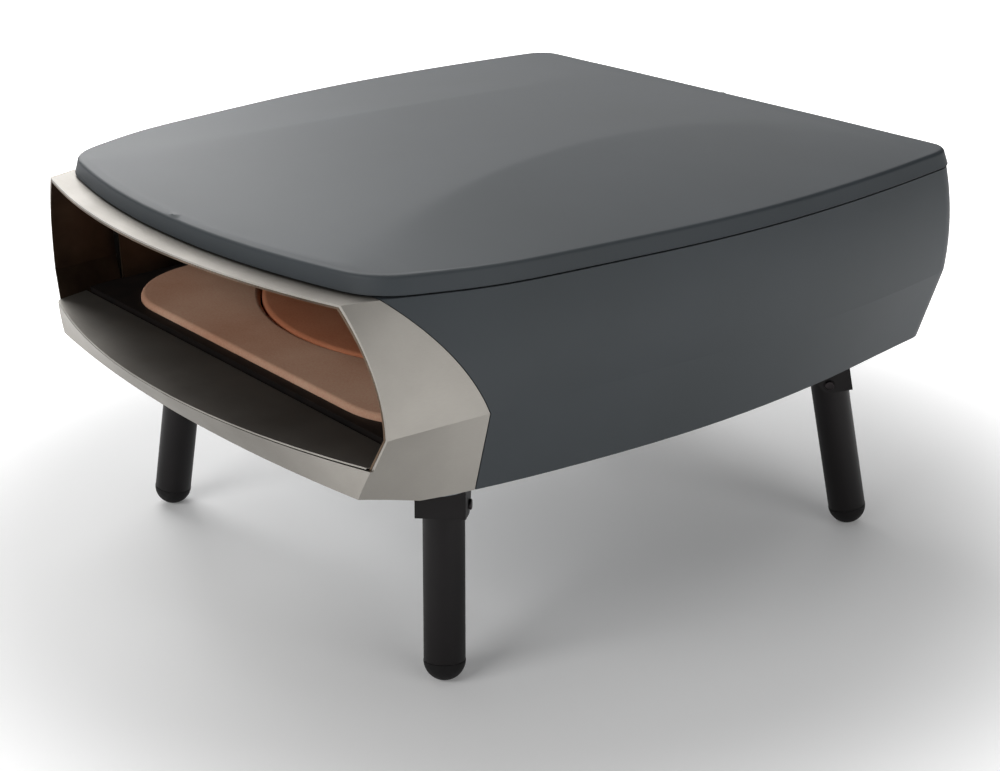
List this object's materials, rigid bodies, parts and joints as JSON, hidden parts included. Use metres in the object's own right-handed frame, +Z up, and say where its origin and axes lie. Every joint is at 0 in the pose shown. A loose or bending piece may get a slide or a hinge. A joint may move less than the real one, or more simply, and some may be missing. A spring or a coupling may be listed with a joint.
{
  "type": "portable pizza oven",
  "caption": "Portable gas pizza oven with a wide hooded mouth, a turning baking stone and folding legs.",
  "frame": {"origin": "middle of the bounding box at the floor, under the feet", "axes": "+X to the oven's right seen from the mouth, +Y from the mouth to the rear, +Z up"},
  "size_m": [0.5368, 0.5836, 0.3335],
  "materials": {
    "stainless": "brushed stainless sheet",
    "body_paint": "matte slate paint, fine texture",
    "liner_steel": "heat-stained stainless sheet",
    "enamel": "matte black enamel",
    "galvanised": "plain galvanised sheet",
    "black_metal": "satin black powder coat",
    "baking_stone": "unglazed cordierite",
    "insulation": "pressed ceramic fibre",
    "seal_fibre": "woven glass fibre",
    "bright_steel": "zinc-plated steel",
    "brass_fitting": "machined brass",
    "bronze": "sintered bronze",
    "black_plastic": "moulded nylon",
    "switch_plastic": "moulded polycarbonate",
    "rubber_cap": "moulded rubber",
    "cell_wrap": "shrink sleeve",
    "ceramic": "unglazed alumina",
    "motor_case": "plain steel case"
  },
  "bodies": {
    "oven": {"top_cover": "body_paint", "lid_seal": "seal_fibre", "lid_screws": "bright_steel", "body_shell": "body_paint", "front_hood": "stainless", "mouth_liner": "liner_steel", "oven_liner": "liner_steel", "wall_insulation": "insulation", "ceiling_insulation": "insulation", "floor_tray": "enamel", "sill_ramp": "stainless", "shaft_bush": "bronze", "drive_housing": "black_plastic", "battery_cells": "cell_wrap", "drive_motor": "motor_case", "base_pan": "galvanised", "flange_screws": "bright_steel", "pan_rivets": "bright_steel", "tray_spacers": "bright_steel", "u_burner": "bright_steel", "booster_burner": "bright_steel", "burner_saddles": "galvanised", "flame_guard": "liner_steel", "igniter_electrode": "ceramic", "thermocouple": "bright_steel", "gas_box": "black_metal", "gas_manifold": "brass_fitting", "gas_inlet": "brass_fitting", "switch_frame": "switch_plastic", "main_valve": "brass_fitting", "booster_valve": "brass_fitting", "bracket_front_left": "black_metal", "pin_front_left": "bright_steel", "bracket_front_right": "black_metal", "pin_front_right": "bright_steel", "bracket_rear_left": "black_metal", "pin_rear_left": "bright_steel", "bracket_rear_right": "black_metal", "pin_rear_right": "bright_steel"},
    "turntable": {"turntable_carrier": "bright_steel", "turntable_shaft": "bright_steel"},
    "disc": {"stone_disc": "baking_stone"},
    "loose_stone": {"front_stone": "baking_stone"},
    "battery_flap": {"battery_door": "black_plastic"},
    "rocker": {"switch_key": "switch_plastic"},
    "main_cup": {"main_spring_cup": "bright_steel"},
    "main_control": {"main_stem": "bright_steel", "main_knob": "black_plastic"},
    "booster_cup": {"booster_spring_cup": "bright_steel"},
    "booster_control": {"booster_stem": "bright_steel", "booster_knob": "black_plastic"},
    "front_left_leg": {"leg_front_left": "black_metal", "foot_front_left": "rubber_cap"},
    "front_right_leg": {"leg_front_right": "black_metal", "foot_front_right": "rubber_cap"},
    "rear_left_leg": {"leg_rear_left": "black_metal", "foot_rear_left": "rubber_cap"},
    "rear_right_leg": {"leg_rear_right": "black_metal", "foot_rear_right": "rubber_cap"}
  },
  "joints": [
    {"name": "front_left_fold", "type": "hinge", "parent": "oven", "child": "front_left_leg", "pos_m": [-0.17994, -0.16919, 0.1275], "axis": [0.7071, -0.7071, 0], "range_deg": [0, 100]},
    {"name": "front_right_fold", "type": "hinge", "parent": "oven", "child": "front_right_leg", "pos_m": [0.17994, -0.16919, 0.1275], "axis": [0.7071, 0.7071, 0], "range_deg": [0, 100]},
    {"name": "rear_left_fold", "type": "hinge", "parent": "oven", "child": "rear_left_leg", "pos_m": [-0.19394, 0.20919, 0.1275], "axis": [-0.7071, -0.7071, 0], "range_deg": [0, 100]},
    {"name": "rear_right_fold", "type": "hinge", "parent": "oven", "child": "rear_right_leg", "pos_m": [0.19394, 0.20919, 0.1275], "axis": [-0.7071, 0.7071, 0], "range_deg": [0, 100]},
    {"name": "turntable_spin", "type": "hinge", "parent": "oven", "child": "turntable", "pos_m": [0, 0.03675, 0.187], "axis": [0, 0, 1], "continuous": true},
    {"name": "disc_lift", "type": "slide", "parent": "turntable", "child": "disc", "axis": [0, 0, 1], "range_m": [0, 0.06]},
    {"name": "front_stone_lift", "type": "slide", "parent": "oven", "child": "loose_stone", "axis": [0, 0, 1], "range_m": [0, 0.06]},
    {"name": "battery_door_hinge", "type": "hinge", "parent": "oven", "child": "battery_flap", "pos_m": [0, 0.15495, 0.1068], "axis": [1, 0, 0], "range_deg": [0, 80]},
    {"name": "switch_rock", "type": "hinge", "parent": "oven", "child": "rocker", "pos_m": [0, 0.26575, 0.126], "axis": [1, 0, 0], "range_deg": [-16, 0]},
    {"name": "main_push", "type": "slide", "parent": "oven", "child": "main_cup", "axis": [0, -1, 0], "range_m": [0, 0.004], "stiffness_N_per_m": 1500, "springref_m": -0.001},
    {"name": "main_turn", "type": "hinge", "parent": "main_cup", "child": "main_control", "pos_m": [-0.095, 0.27525, 0.126], "axis": [0, 1, 0], "range_deg": [0, 180]},
    {"name": "booster_push", "type": "slide", "parent": "oven", "child": "booster_cup", "axis": [0, -1, 0], "range_m": [0, 0.004], "stiffness_N_per_m": 1500, "springref_m": -0.001},
    {"name": "booster_turn", "type": "hinge", "parent": "booster_cup", "child": "booster_control", "pos_m": [0.095, 0.27525, 0.126], "axis": [0, 1, 0], "range_deg": [0, 180]}
  ]
}
